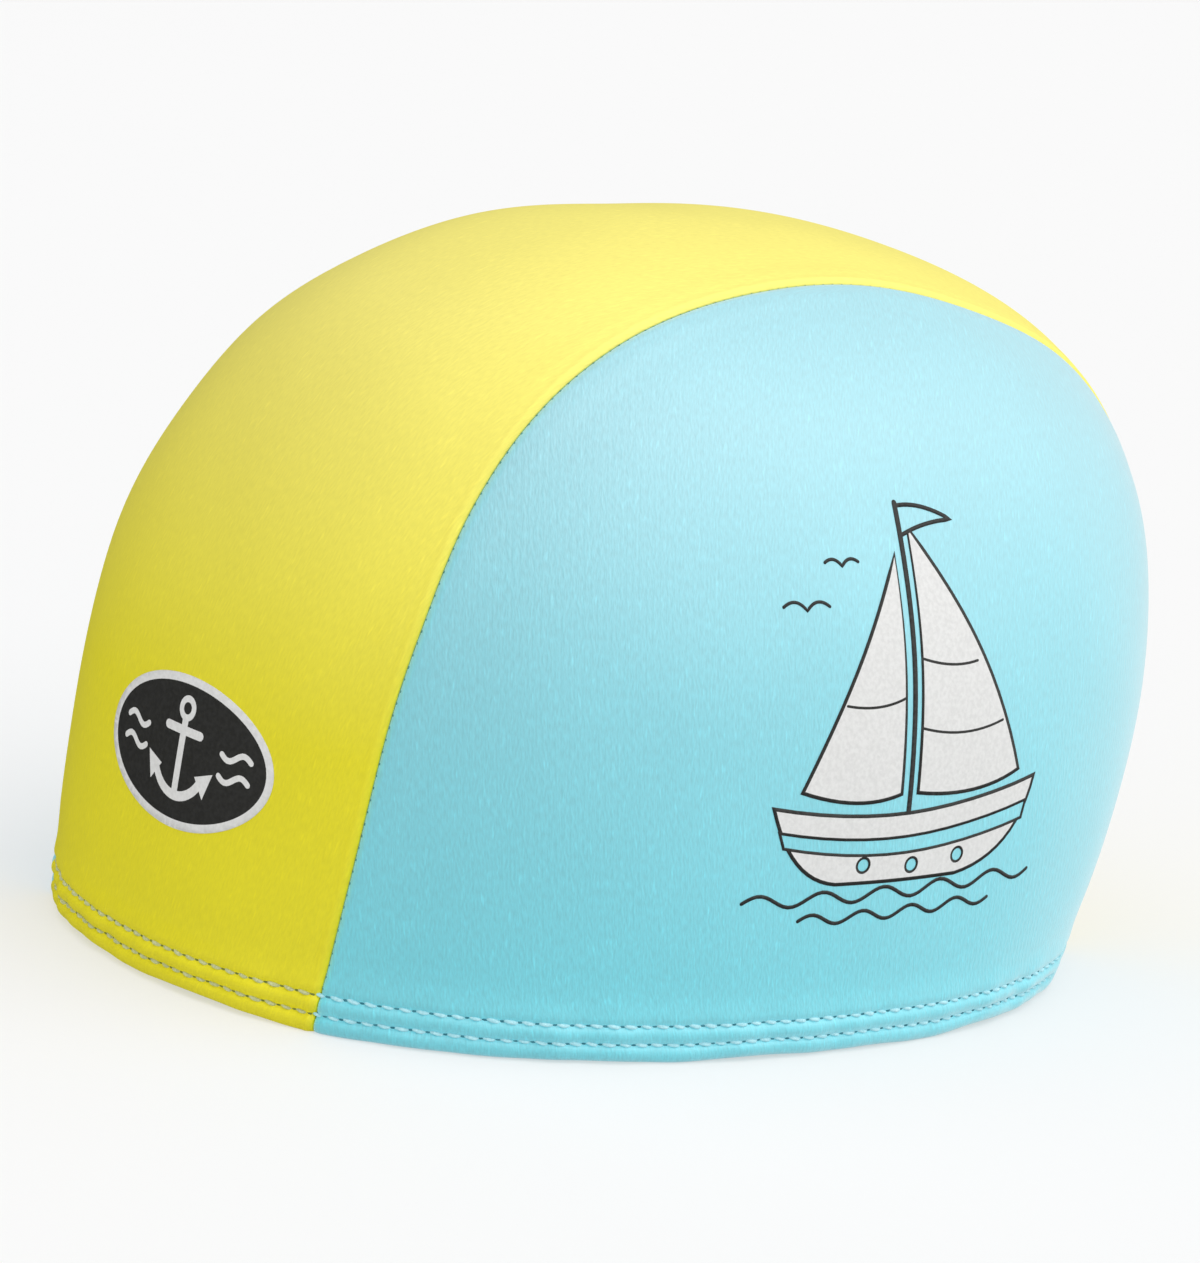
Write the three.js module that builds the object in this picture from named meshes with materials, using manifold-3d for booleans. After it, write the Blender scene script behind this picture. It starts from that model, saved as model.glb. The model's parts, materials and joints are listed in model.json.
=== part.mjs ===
// A stretch swim cap sewn from three pieces of cloth: a centre panel that runs from the
// forehead over the crown to the nape, and a panel on each side. Each panel is turned up
// inside at the rim, so the hem is two cloths thick. The cap keeps the form of a head.
// Millimetres, +Z up, the forehead towards -Y, the wearer's left towards +X, and the rim
// on z = 0.

import * as THREE from "three";
import { LoftGeometry } from "three/addons/geometries/LoftGeometry.js";
import { mergeVertices } from "three/addons/utils/BufferGeometryUtils.js";
import Module from "manifold-3d";

const wasm = await Module();
wasm.setup();

// The form
const rimLength = 172.2; // forehead to nape
const rimWidth = 142.4; // ear to ear
const capHeight = 123.6; // rim to crown
const napeFlare = 0.017; // how much wider the nape is than the ears, as a share

// The cloth
const clothWall = 1.1;
const stripeWidth = 79.4; // the centre panel, where its seams meet the forehead's rim
const seamGap = 0.3; // between two panels

// The hem, from the rim up
const foldRound = 0.5; // the height at which the fold's rounding ends
const restWidth = 1.8; // the flat that the fold stands on
const lowerStitchHeight = 3.1;
const stitchRowSpacing = 3.3;
const turnUpMargin = 1.6; // how far the turned-up edge reaches past the upper stitches
const hemSwell = 0.8; // how far the roll stands out from the cap's side
const stitchDip = 0.45; // how far a row of stitches pulls the roll in

const hemWall = 2 * clothWall;
const upperStitchHeight = lowerStitchHeight + stitchRowSpacing;
const hemHeight = upperStitchHeight + turnUpMargin;

// Level rings round the head form, from the rim up. rise is the angle up the crown, where
// 90 is the top. length and width are shares of the rim's, before the ring closes in with
// the cosine of rise. shift moves the ring back by a share of the rim's length. fullness
// is the power of its superellipse, where 2 is a plain ellipse.
const formRings = [
  { rise: 0, length: 1, width: 1, shift: -0.008, fullness: 2.25 },
  { rise: 15, length: 1.083, width: 1.095, shift: 0.019, fullness: 2.26 },
  { rise: 30, length: 1.2, width: 1.183, shift: 0.038, fullness: 2.27 },
  { rise: 45, length: 1.336, width: 1.256, shift: 0.054, fullness: 2.27 },
  { rise: 60, length: 1.506, width: 1.327, shift: 0.053, fullness: 2.28 },
  { rise: 75, length: 1.667, width: 1.379, shift: 0.036, fullness: 2.29 },
  { rise: 90, length: 1.804, width: 1.411, shift: 0.028, fullness: 2.29 },
];

// The centre panel's width on its way over the head. turn is the angle round the line
// from ear to ear, where 0 looks forward, 90 is the crown and 180 looks back. width is a
// share of stripeWidth.
const stripeStations = [
  { turn: -35, width: 0.9 },
  { turn: -15, width: 1.016 },
  { turn: 0, width: 1.07 },
  { turn: 15, width: 1.094 },
  { turn: 30, width: 1.088 },
  { turn: 45, width: 1.019 },
  { turn: 60, width: 0.948 },
  { turn: 75, width: 0.861 },
  { turn: 90, width: 0.772 },
  { turn: 105, width: 0.713 },
  { turn: 120, width: 0.745 },
  { turn: 135, width: 0.737 },
  { turn: 180, width: 0.8 },
  { turn: 215, width: 0.84 },
];

// The ear line's height, and about how far the cloth is from it over the crown
const earLineHeight = 0.24 * capHeight;
const crownReach = 0.7 * capHeight;

// How finely the cloth is divided
const ringPoints = 86;
const crownRings = 20;
const seamSteps = 48;

// A smooth value of one column of a table, at a place along another column.
function tableValue(rows, placeColumn, valueColumn, place) {
  const last = rows.length - 1;
  const next = rows.findIndex((row) => row[placeColumn] > place);
  const index = next < 0 ? last - 1 : Math.max(next - 1, 0);
  const slopeAt = (i) => {
    const before = rows[Math.max(i - 1, 0)];
    const after = rows[Math.min(i + 1, last)];
    return (after[valueColumn] - before[valueColumn]) / (after[placeColumn] - before[placeColumn]);
  };
  const from = rows[index];
  const to = rows[index + 1];
  const span = to[placeColumn] - from[placeColumn];
  const t = THREE.MathUtils.clamp((place - from[placeColumn]) / span, 0, 1);
  const bend = span * t * (1 - t) * ((1 - t) * slopeAt(index) - t * slopeAt(index + 1));
  return THREE.MathUtils.lerp(from[valueColumn], to[valueColumn], t * t * (3 - 2 * t)) + bend;
}

function signedPower(value, power) {
  return Math.sign(value) * Math.abs(value) ** power;
}

// A point on the outside of the head form: rise in degrees up the crown, and turn in
// radians round it, from the wearer's left side by way of the nape.
function formPoint(rise, turn) {
  const ring = (column) => tableValue(formRings, "rise", column, rise);
  const angle = THREE.MathUtils.degToRad(rise);
  const power = 2 / ring("fullness");
  const backwards = Math.sin(turn);
  const halfLength = (rimLength / 2) * ring("length") * Math.cos(angle);
  const halfWidth = (rimWidth / 2) * ring("width") * Math.cos(angle) * (1 + napeFlare * backwards);
  return new THREE.Vector3(
    halfWidth * signedPower(Math.cos(turn), power),
    halfLength * signedPower(backwards, power) + rimLength * ring("shift"),
    capHeight * Math.sin(angle),
  );
}

function riseAtHeight(height) {
  return THREE.MathUtils.radToDeg(Math.asin(height / capHeight));
}

// The way out of the form, square to its surface, or level where the hem's heights have
// to stay true.
function wayOut(rise, turn, level) {
  const step = 0.001;
  const around = formPoint(rise, turn + step).sub(formPoint(rise, turn - step));
  const upwards = level
    ? new THREE.Vector3(0, 0, 1)
    : formPoint(rise + step, turn).sub(formPoint(rise - step, turn));
  return around.cross(upwards).normalize();
}

// One ring of the shell, moved out of the form by a distance, or in where it is negative.
function shellRing(rise, out, level) {
  return Array.from({ length: ringPoints }, (_, i) => {
    const turn = (2 * Math.PI * (i + 0.5)) / ringPoints;
    return formPoint(rise, turn).addScaledVector(wayOut(rise, turn, level), out);
  });
}

const crownRing = (rise, out) => shellRing(rise, out, false);
const hemRing = (height, out) => shellRing(riseAtHeight(height), out, true);

// The point in which a face of the shell closes over the crown.
function crownPole(out) {
  const pole = formPoint(90, 0);
  pole.z += out;
  return Array(ringPoints).fill(pole);
}

// The whole cap as one thin shell, lofted from the inside of the crown down to the fold
// and up the outside again.
function capShell() {
  const hemTop = riseAtHeight(hemHeight);
  const rises = Array.from({ length: crownRings }, (_, i) =>
    THREE.MathUtils.lerp(hemTop, 90, i / crownRings),
  );
  const foldMiddle = (hemSwell - hemWall) / 2;
  return closedSolid(
    new LoftGeometry([
      crownPole(-clothWall),
      ...rises.toReversed().map((rise) => crownRing(rise, -clothWall)),
      hemRing(hemHeight, -hemWall),
      hemRing(foldRound, -hemWall),
      hemRing(0, foldMiddle - restWidth / 2),
      hemRing(0, foldMiddle + restWidth / 2),
      hemRing(foldRound, hemSwell),
      hemRing(lowerStitchHeight, hemSwell - stitchDip),
      hemRing((lowerStitchHeight + upperStitchHeight) / 2, hemSwell),
      hemRing(upperStitchHeight, hemSwell - stitchDip),
      ...rises.map((rise) => crownRing(rise, 0)),
      crownPole(0),
    ]),
  );
}

// A fan round the ear line. The seam on the wearer's left is cut along its left face,
// moved out to the left by a distance, and its other face is clear of the cap.
function seamFan(outwards) {
  const firstTurn = stripeStations[0].turn;
  const lastTurn = stripeStations.at(-1).turn;
  const earLine = new THREE.Vector3(0, formPoint(0, 0).y, earLineHeight);
  const beforeCloth = 0.7;
  const pastCloth = 1.3;
  const sections = Array.from({ length: seamSteps + 1 }, (_, i) => {
    const turn = THREE.MathUtils.lerp(firstTurn, lastTurn, i / seamSteps);
    const angle = THREE.MathUtils.degToRad(turn);
    const seam = (stripeWidth / 2) * tableValue(stripeStations, "turn", "width", turn) + outwards;
    const toCloth = new THREE.Vector3(0, (-rimLength / 2) * Math.cos(angle), crownReach * Math.sin(angle));
    const corner = (x, share) => new THREE.Vector3(x, 0, 0).addScaledVector(toCloth, share).add(earLine);
    return [
      corner(-rimWidth, beforeCloth),
      corner(-rimWidth, pastCloth),
      corner(seam, pastCloth),
      corner(seam, beforeCloth),
    ];
  });
  return closedSolid(new LoftGeometry(sections, { capStart: true, capEnd: true }));
}

// Everything on the wearer's left of the cap's middle.
function leftHalf() {
  const size = 2 * (rimLength + rimWidth + capHeight);
  return closedSolid(new THREE.BoxGeometry(size, size, size).translate(size / 2, 0, 0));
}

// A solid for cutting and joining, from a closed geometry.
function closedSolid(geometry) {
  const bare = new THREE.BufferGeometry().copy(geometry);
  bare.deleteAttribute("normal");
  bare.deleteAttribute("uv");
  const merged = mergeVertices(bare);
  const faces = [];
  for (let i = 0; i < merged.index.count; i += 3) {
    const [a, b, c] = merged.index.array.slice(i, i + 3);
    if (a !== b && b !== c && c !== a) faces.push(a, b, c);
  }
  return new wasm.Manifold(
    new wasm.Mesh({
      numProp: 3,
      vertProperties: merged.getAttribute("position").array,
      triVerts: new Uint32Array(faces),
    }),
  );
}

function panelMesh(name, solid, material) {
  const { vertProperties, triVerts } = solid.getMesh();
  const geometry = new THREE.BufferGeometry();
  geometry.setAttribute("position", new THREE.BufferAttribute(vertProperties, 3));
  geometry.setIndex(new THREE.BufferAttribute(triVerts, 1));
  geometry.computeVertexNormals();
  const mesh = new THREE.Mesh(geometry, material);
  mesh.name = name;
  return mesh;
}

const yellowCloth = new THREE.MeshStandardMaterial({ color: 0xe8dc3c, roughness: 0.75, metalness: 0 });
const blueCloth = new THREE.MeshStandardMaterial({ color: 0x86d6e6, roughness: 0.75, metalness: 0 });

// The form is drawn round the middle of the rim, and the cap lies round the middle of its
// whole length.
const drawnShell = capShell();
const { min, max } = drawnShell.boundingBox();
const toMiddle = [0, -(min[1] + max[1]) / 2, 0];
const shell = drawnShell.translate(toMiddle);

// Both seams are one cut, once as it is and once mirrored.
const sideCut = seamFan(seamGap / 2).translate(toMiddle);
const centreCut = seamFan(-seamGap / 2).translate(toMiddle);
const leftPanel = shell.intersect(leftHalf()).subtract(sideCut);
const centrePanel = shell.intersect(centreCut).intersect(centreCut.mirror([1, 0, 0]));

const swimCap = new THREE.Group();
swimCap.add(panelMesh("centre_panel", centrePanel, yellowCloth));
swimCap.add(panelMesh("side_panel_left", leftPanel, blueCloth));
swimCap.add(panelMesh("side_panel_right", leftPanel.mirror([1, 0, 0]), blueCloth));

export default swimCap;
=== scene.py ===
import json
import math

import bmesh
import bpy
import numpy as np
from mathutils import Matrix, Vector
from mathutils.geometry import delaunay_2d_cdt

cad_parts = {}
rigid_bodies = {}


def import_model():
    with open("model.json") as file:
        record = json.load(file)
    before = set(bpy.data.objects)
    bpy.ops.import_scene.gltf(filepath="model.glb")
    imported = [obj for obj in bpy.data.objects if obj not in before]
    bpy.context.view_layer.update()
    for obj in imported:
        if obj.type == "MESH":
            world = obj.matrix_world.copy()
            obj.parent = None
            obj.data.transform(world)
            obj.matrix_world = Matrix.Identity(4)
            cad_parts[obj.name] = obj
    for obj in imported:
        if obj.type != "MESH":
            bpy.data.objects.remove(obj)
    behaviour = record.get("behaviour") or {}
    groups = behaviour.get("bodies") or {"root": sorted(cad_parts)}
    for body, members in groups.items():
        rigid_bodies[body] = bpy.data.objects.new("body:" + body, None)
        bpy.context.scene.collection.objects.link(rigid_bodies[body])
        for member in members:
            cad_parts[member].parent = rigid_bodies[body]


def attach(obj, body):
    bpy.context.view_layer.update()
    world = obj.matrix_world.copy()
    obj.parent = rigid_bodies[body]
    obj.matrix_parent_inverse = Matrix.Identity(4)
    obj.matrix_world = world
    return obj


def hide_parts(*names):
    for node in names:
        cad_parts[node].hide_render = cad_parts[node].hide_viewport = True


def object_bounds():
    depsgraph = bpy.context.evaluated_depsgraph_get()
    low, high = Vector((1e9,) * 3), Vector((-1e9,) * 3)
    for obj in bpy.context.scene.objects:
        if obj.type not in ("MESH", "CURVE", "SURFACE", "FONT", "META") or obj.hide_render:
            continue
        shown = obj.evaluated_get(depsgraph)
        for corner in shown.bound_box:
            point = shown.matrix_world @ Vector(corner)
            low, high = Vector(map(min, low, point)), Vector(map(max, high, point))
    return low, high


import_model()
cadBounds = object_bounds()
metre = 1000  # millimetres

# How many points a curve is sampled at before it is divided evenly
samples = {"rim": 4001, "spine": 1500, "seam": 6000, "height": 20000, "row": 900, "line": 1400}


# Rows with named columns
def table(columns, *rows):
    return [dict(zip(columns.split(), row)) for row in rows]


# The form of a head that the cap is filled out to, in level rings from the rim up
form = {
    "rimLength": 172.2,
    "rimWidth": 142.4,
    "height": metre * cadBounds[1].z,
    "rimCentreY": -3.7535,  # how far the middle of the rim is in front of the middle of the cap
    "napeFlare": 0.017,
    "rings": table(
        "rise length width shift fullness",
        (0, 1, 1, -0.008, 2.25),
        (15, 1.083, 1.095, 0.019, 2.26),
        (30, 1.2, 1.183, 0.038, 2.27),
        (45, 1.336, 1.256, 0.054, 2.27),
        (60, 1.506, 1.327, 0.053, 2.28),
        (75, 1.667, 1.379, 0.036, 2.29),
        (90, 1.804, 1.411, 0.028, 2.29),
    ),
}

# The two seams, by the angle round the line from ear to ear: 0 looks forward, 90 up, 180 back
seams = {
    "earLineHeight": 0.24 * form["height"],
    "crownReach": 0.7 * form["height"],
    "halfWidth": 39.7,
    "gap": 0.05,  # from a panel's edge to the middle of the seam
    "grooveDepth": 0.75,
    "grooveWidth": 1.7,
    "puffHeight": 0.16,  # how far the cloth swells beside the seam
    "beadHeight": 0.26,  # the turned-in edge shows as a bead beside the seam
    "beadFrom": 1.1,
    "beadWidth": 0.55,
    "puffFrom": 3.2,
    "puffWidth": 1.9,
    "alongCloth": 1.08,  # the way along the cloth for a millimetre sideways
    "allowance": 6.5,  # the turned-in edge behind the seam
    "allowanceWall": 0.6,
    "allowanceEdge": 0.6,
    "allowanceFrom": 8.6,  # it starts above the turn-up
    "allowanceFade": 1.5,
    "stations": table(
        "turn width",
        (-35, 0.9),
        (-15, 1.016),
        (0, 1.07),
        (15, 1.094),
        (30, 1.088),
        (45, 1.019),
        (60, 0.948),
        (75, 0.861),
        (90, 0.772),
        (105, 0.713),
        (120, 0.745),
        (135, 0.737),
        (180, 0.8),
        (215, 0.84),
    ),
}

cloth = {
    "columnSpacing": 0.78,
    "rowSpacing": 1.0,
    "sideRowSpacing": 1.15,
    "sideColumns": 248,
    "edgeInsets": [0, 0.12, 0.3, 0.52, 0.8, 1.12, 1.5, 2, 2.6],
    "slackHeight": 0.12,  # broad unevenness of the stretched cloth
    "slackLength": 34,
    "walesFacing": 53,  # the knit's wales on a side panel follow a plane that faces this way
    "walesFrom": 25,
    "walesLean": 0.11,
    "frontLean": 0.2,  # how the wales lean on the forehead
    "frontLeanLength": 70,
}

# The turned-up hem, from the rim up
hem = {
    "turnUp": 8,
    "stitchHeights": [3.1, 6.4],
    "stitchPitch": 2.8,
    "stitchDimple": 0.1,
    "dimpleWidth": 0.55,
    "sideLift": 0.55,  # how far the edge lifts off the floor between the seams
    "centreLift": 1.0,
    "liftHeight": 4.6,
    "liftReach": 11,  # from a seam, where the edge starts to lift
    "liftLength": 26,
    "puckerHeight": 0.16,
    "puckerLength": 7,
    "puckerMiddle": 3.8,
    "puckerReach": 4.2,
    "blendHeight": 16,
    "profile": table(  # how far the roll stands out from the form
        "height out",
        (0, 0.2),
        (0.25, 0.55),
        (0.6, 0.84),
        (1.1, 1.02),
        (1.7, 1.05),
        (2.3, 0.88),
        (2.75, 0.55),
        (3.1, 0.28),
        (3.45, 0.52),
        (4, 0.84),
        (4.75, 0.96),
        (5.5, 0.78),
        (6.05, 0.42),
        (6.4, 0.16),
        (6.8, 0.36),
        (7.5, 0.5),
        (8.6, 0.38),
        (10.5, 0.1),
        (13, 0),
        (16, 0),
    ),
    "insideProfile": table(
        "height out",
        (0, -1.6),
        (0.25, -1.98),
        (0.6, -2.16),
        (1.1, -2.2),
        (8, -2.2),
        (8.35, -1.95),
        (8.6, -1.1),
        (10.5, -1.1),
        (16, -1.1),
    ),
    "rows": [0, 0.12, 0.27, 0.45, 0.7, 1, 1.35, 1.75, 2.15, 2.5, 2.75, 2.95, 3.1, 3.25, 3.45, 3.75, 4.15,
             4.6, 5.05, 5.45, 5.8, 6.05, 6.25, 6.4, 6.55, 6.75, 7, 7.35, 7.7, 8, 8.18, 8.36, 8.6, 8.9,
             9.4, 10.1, 10.9, 11.8, 12.8, 13.8, 14.9, 16],
}


# A smooth value of one column of a table, at places along another column.
def tableValue(rows, placeColumn, valueColumn, place):
    places = np.array([row[placeColumn] for row in rows], float)
    values = np.array([row[valueColumn] for row in rows], float)
    last = len(rows) - 1
    index = np.arange(len(rows))
    before, after = np.maximum(index - 1, 0), np.minimum(index + 1, last)
    slopes = (values[after] - values[before]) / (places[after] - places[before])
    i = np.clip(np.searchsorted(places, place, side="right") - 1, 0, last - 1)
    span = places[i + 1] - places[i]
    t = np.clip((place - places[i]) / span, 0, 1)
    bend = span * t * (1 - t) * ((1 - t) * slopes[i] - t * slopes[i + 1])
    return values[i] + (values[i + 1] - values[i]) * t * t * (3 - 2 * t) + bend


# The level ring of the form at a height: half its length and width, its middle and fullness.
def ringAt(height):
    share = np.clip(height / form["height"], 0, 1 - 1e-9)
    rise = np.degrees(np.arcsin(share))
    closing = np.sqrt(1 - share**2)
    halfLength = form["rimLength"] / 2 * tableValue(form["rings"], "rise", "length", rise) * closing
    halfWidth = form["rimWidth"] / 2 * tableValue(form["rings"], "rise", "width", rise) * closing
    middle = form["rimCentreY"] + form["rimLength"] * tableValue(form["rings"], "rise", "shift", rise)
    return halfLength, halfWidth, middle, tableValue(form["rings"], "rise", "fullness", rise)


# How far a place is outside the form: below 0 inside it, 0 on it.
def outsideForm(x, y, z):
    halfLength, halfWidth, middle, fullness = ringAt(z)
    along = np.abs(y - middle) / halfLength
    backwards = np.sign(y - middle) * np.minimum(along, 1) ** (fullness / 2)
    across = np.abs(x) / (halfWidth * (1 + form["napeFlare"] * backwards))
    return across**fullness + along**fullness - 1


def halfWidthAt(y, z):
    halfLength, halfWidth, middle, fullness = ringAt(z)
    along = np.minimum(np.abs(y - middle) / halfLength, 1)
    backwards = np.sign(y - middle) * along ** (fullness / 2)
    return halfWidth * (1 + form["napeFlare"] * backwards) * (1 - along**fullness) ** (1 / fullness)


# side is -1 for the forehead and 1 for the nape.
def lengthAt(x, z, side):
    halfLength, halfWidth, middle, fullness = ringAt(z)
    backwards = side
    for _ in range(8):
        across = np.minimum(np.abs(x) / (halfWidth * (1 + form["napeFlare"] * backwards)), 1)
        along = (1 - across**fullness) ** (1 / fullness)
        backwards = side * along ** (fullness / 2)
    return middle + side * halfLength * along


# The ear line's place in Y, the middle of the lowest ring
earLineY = float(ringAt(0.0)[2])


def turnOf(y, z):
    forward = -(y - earLineY) / (form["rimLength"] / 2)
    upward = (z - seams["earLineHeight"]) / seams["crownReach"]
    return (np.degrees(np.arctan2(upward, forward)) + 90) % 360 - 90


def seamHalfWidth(turn):
    return seams["halfWidth"] * tableValue(seams["stations"], "turn", "width", turn)


# The place of a column of the centre panel at a height of the hem. share is the column's
# part of the half width, and inset is in millimetres.
def stripAtHeight(share, inset, z, side):
    turn = np.full(np.broadcast(share, z).shape, 0.0 if side < 0 else 180.0)
    for _ in range(12):
        x = share * seamHalfWidth(turn) + inset
        y = lengthAt(x, z, side)
        turn = turnOf(y, z)
    return x, y, turn


# The place of a column at an angle round the ear line, found by halving along the ray.
def stripAtTurn(share, inset, turn):
    x = share * seamHalfWidth(turn) + inset
    angle = np.radians(turn)
    forward, upward = -form["rimLength"] / 2 * np.cos(angle), seams["crownReach"] * np.sin(angle)
    near, far = np.full(x.shape, 0.25), np.full(x.shape, 1.7)
    for _ in range(34):
        half = (near + far) / 2
        outside = outsideForm(x, earLineY + half * forward, seams["earLineHeight"] + half * upward) > 0
        near, far = np.where(outside, near, half), np.where(outside, half, far)
    half = (near + far) / 2
    return np.stack([x, earLineY + half * forward, seams["earLineHeight"] + half * upward], -1)


def unit(vectors):
    return vectors / np.maximum(np.linalg.norm(vectors, axis=-1, keepdims=True), 1e-12)


# The way out of the form, level where the hem's heights have to stay true.
def wayOut(points):
    step = 0.05
    x, y, z = np.moveaxis(points, -1, 0)
    inward = np.minimum(z, form["height"] - 4 * step)
    slopes = [
        outsideForm(x + step, y, inward) - outsideForm(x - step, y, inward),
        outsideForm(x, y + step, inward) - outsideForm(x, y - step, inward),
        outsideForm(x, y, np.maximum(inward + step, 0)) - outsideForm(x, y, np.maximum(inward - step, 0)),
    ]
    slopes[2] = slopes[2] * np.clip((z - hem["turnUp"]) / (hem["blendHeight"] - hem["turnUp"]), 0, 1)
    return unit(np.stack(slopes, -1))


# A smooth unevenness from -1 to 1 about, the same for any piece at the same place.
def softNoise(points, length, seed, stretch=(1, 1, 1), waves=22):
    rng = np.random.default_rng(seed)
    total = np.zeros(points.shape[:-1])
    for _ in range(waves):
        direction = unit(rng.normal(size=3)) / np.array(stretch)
        pace = 2 * math.pi / (length * rng.uniform(0.7, 1.7))
        total += np.sin(points @ direction * pace + rng.uniform(0, 2 * math.pi))
    return total / math.sqrt(waves / 2)


# The arc round the rim, by the ring's own angle, so that stitches and dimples keep step.
def ringTurn(points):
    x, y, z = np.moveaxis(points, -1, 0)
    halfLength, _, middle, fullness = ringAt(z)
    along = np.clip((y - middle) / halfLength, -1, 1)
    backwards = np.sign(along) * np.abs(along) ** (fullness / 2)
    return np.arctan2(backwards, np.sign(x) * np.sqrt(1 - backwards**2)) % (2 * math.pi)


def ringPoint(turn, z):
    halfLength, halfWidth, middle, fullness = ringAt(z)
    power = 2 / fullness
    backwards, left = np.sin(turn), np.cos(turn)
    x = halfWidth * (1 + form["napeFlare"] * backwards) * np.sign(left) * np.abs(left) ** power
    y = middle + halfLength * np.sign(backwards) * np.abs(backwards) ** power
    return np.stack([x, y, np.broadcast_to(z, x.shape)], -1)


rimTurns = np.linspace(0, 2 * math.pi, samples["rim"])
rimSteps = np.linalg.norm(np.diff(ringPoint(rimTurns, 4.75), axis=0), axis=-1)
rimArcs = np.concatenate([[0], np.cumsum(rimSteps)])
rimRound = float(rimArcs[-1])
stitchCount = round(rimRound / hem["stitchPitch"])
stitchStep = rimRound / stitchCount


def rimArc(points):
    return np.interp(ringTurn(points), rimTurns, rimArcs)


# Distance from the nearer seam, below 0 on the centre panel.
def seamDistance(points):
    x, y, z = np.moveaxis(points, -1, 0)
    return seams["alongCloth"] * (np.abs(x) - seamHalfWidth(turnOf(y, z)))


# How far the outside of the cloth stands out from the form.
def clothOut(points):
    z = points[..., 2]
    fromSeam = np.abs(seamDistance(points))
    low = np.clip(1 - z / hem["blendHeight"], 0, 1)
    out = tableValue(hem["profile"], "height", "out", z)
    roll = np.exp(-(((z - hem["puckerMiddle"]) / hem["puckerReach"]) ** 2))
    out = out + roll * hem["puckerHeight"] * softNoise(points, hem["puckerLength"], 4, (1, 1, 2.2))
    for height in hem["stitchHeights"]:
        atHole = np.cos(2 * math.pi * rimArc(points) / stitchStep)
        inRow = np.exp(-(((z - height) / hem["dimpleWidth"]) ** 2))
        out = out - hem["stitchDimple"] * (0.5 + 0.5 * atHole) * inRow
    out = out + (1 - low) * cloth["slackHeight"] * softNoise(points, cloth["slackLength"], 7)
    reach = np.clip(1 - fromSeam / seams["grooveWidth"], 0, 1)
    groove = 1 - np.sqrt(1 - reach**2)
    puff = np.exp(-(((fromSeam - seams["puffFrom"]) / seams["puffWidth"]) ** 2))
    out = out - seams["grooveDepth"] * groove + seams["puffHeight"] * puff * (1 - 0.6 * low)
    onCentre = seamDistance(points) < 0
    bead = np.exp(-(((fromSeam - seams["beadFrom"]) / seams["beadWidth"]) ** 2))
    return out + np.where(onCentre, seams["beadHeight"], 0.3 * seams["beadHeight"]) * bead


def clothIn(points):
    z = points[..., 2]
    fromSeam = np.abs(seamDistance(points))
    near = np.clip((seams["allowance"] - fromSeam) / seams["allowanceEdge"], 0, 1)
    allowance = near * np.clip((z - seams["allowanceFrom"]) / seams["allowanceFade"], 0, 1)
    return tableValue(hem["insideProfile"], "height", "out", z) - seams["allowanceWall"] * allowance


# The hem's edge hangs to the floor at the seams and lifts a little between them.
def edgeLift(points):
    z = points[..., 2]
    fromSeam = seamDistance(points)
    away = 1 - np.exp(-((fromSeam / hem["liftReach"]) ** 2))
    wave = 0.72 + 0.28 * softNoise(points * np.array([1, 1, 0]), hem["liftLength"], 11)
    lift = np.where(fromSeam < 0, hem["centreLift"], hem["sideLift"])
    return lift * away * np.clip(wave, 0, 1.4) * np.exp(-((z / hem["liftHeight"]) ** 2))


def outside(points, extra=0.0):
    lifted = points + wayOut(points) * (clothOut(points) + extra)[..., None]
    lifted[..., 2] += edgeLift(points)
    return lifted


def inside(points):
    lifted = points + wayOut(points) * clothIn(points)[..., None]
    lifted[..., 2] += edgeLift(points)
    return lifted


def arcAlong(points, axis):
    steps = np.linalg.norm(np.diff(points, axis=axis), axis=-1)
    start = np.zeros_like(np.take(steps, [0], axis=axis))
    return np.concatenate([start, np.cumsum(steps, axis=axis)], axis=axis)


# A closed cloth from two grids of places, outer and inner, with its knit's UV in metres.
def clothMesh(name, points, knit, flip, capEnd):
    rows, columns = points.shape[:2]
    outer, inner = outside(points), inside(points)
    index = np.arange(rows * columns).reshape(rows, columns)

    def sheet(grid):
        return np.stack([grid[:-1, :-1], grid[:-1, 1:], grid[1:, 1:], grid[1:, :-1]], -1).reshape(-1, 4)

    def strip(line, backLine):
        return np.stack([line[:-1], backLine[:-1], backLine[1:], line[1:]], -1)

    back = index + rows * columns
    faces = [sheet(index), sheet(back)[:, ::-1]]
    faces += [strip(index[0], back[0]), strip(index[:, -1], back[:, -1])]
    faces += [strip(index[:, 0], back[:, 0])[:, ::-1]]
    if capEnd:
        faces += [strip(index[-1], back[-1])[:, ::-1]]
    faces = np.concatenate(faces)
    if flip:
        faces = faces[:, ::-1]
    places = np.concatenate([outer.reshape(-1, 3), inner.reshape(-1, 3)]) / metre
    mesh = bpy.data.meshes.new(name)
    mesh.from_pydata(places.tolist(), [], faces.tolist())
    layer = mesh.uv_layers.new(name="knit")
    loops = np.empty(len(mesh.loops), np.int32)
    mesh.loops.foreach_get("vertex_index", loops)
    both = np.concatenate([knit.reshape(-1, 2)] * 2) / metre
    layer.data.foreach_set("uv", both[loops].astype(np.float32).ravel())
    mesh.polygons.foreach_set("use_smooth", [True] * len(mesh.polygons))
    return mesh


def newObject(name, data):
    item = bpy.data.objects.new(name, data)
    bpy.context.scene.collection.objects.link(item)
    return item


# Makes what a piece's modifiers show its plain mesh.
def bakeModifiers(piece):
    evaluated = piece.evaluated_get(bpy.context.evaluated_depsgraph_get())
    mesh = bpy.data.meshes.new_from_object(evaluated)
    piece.modifiers.clear()
    piece.data = mesh
    return piece


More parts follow.
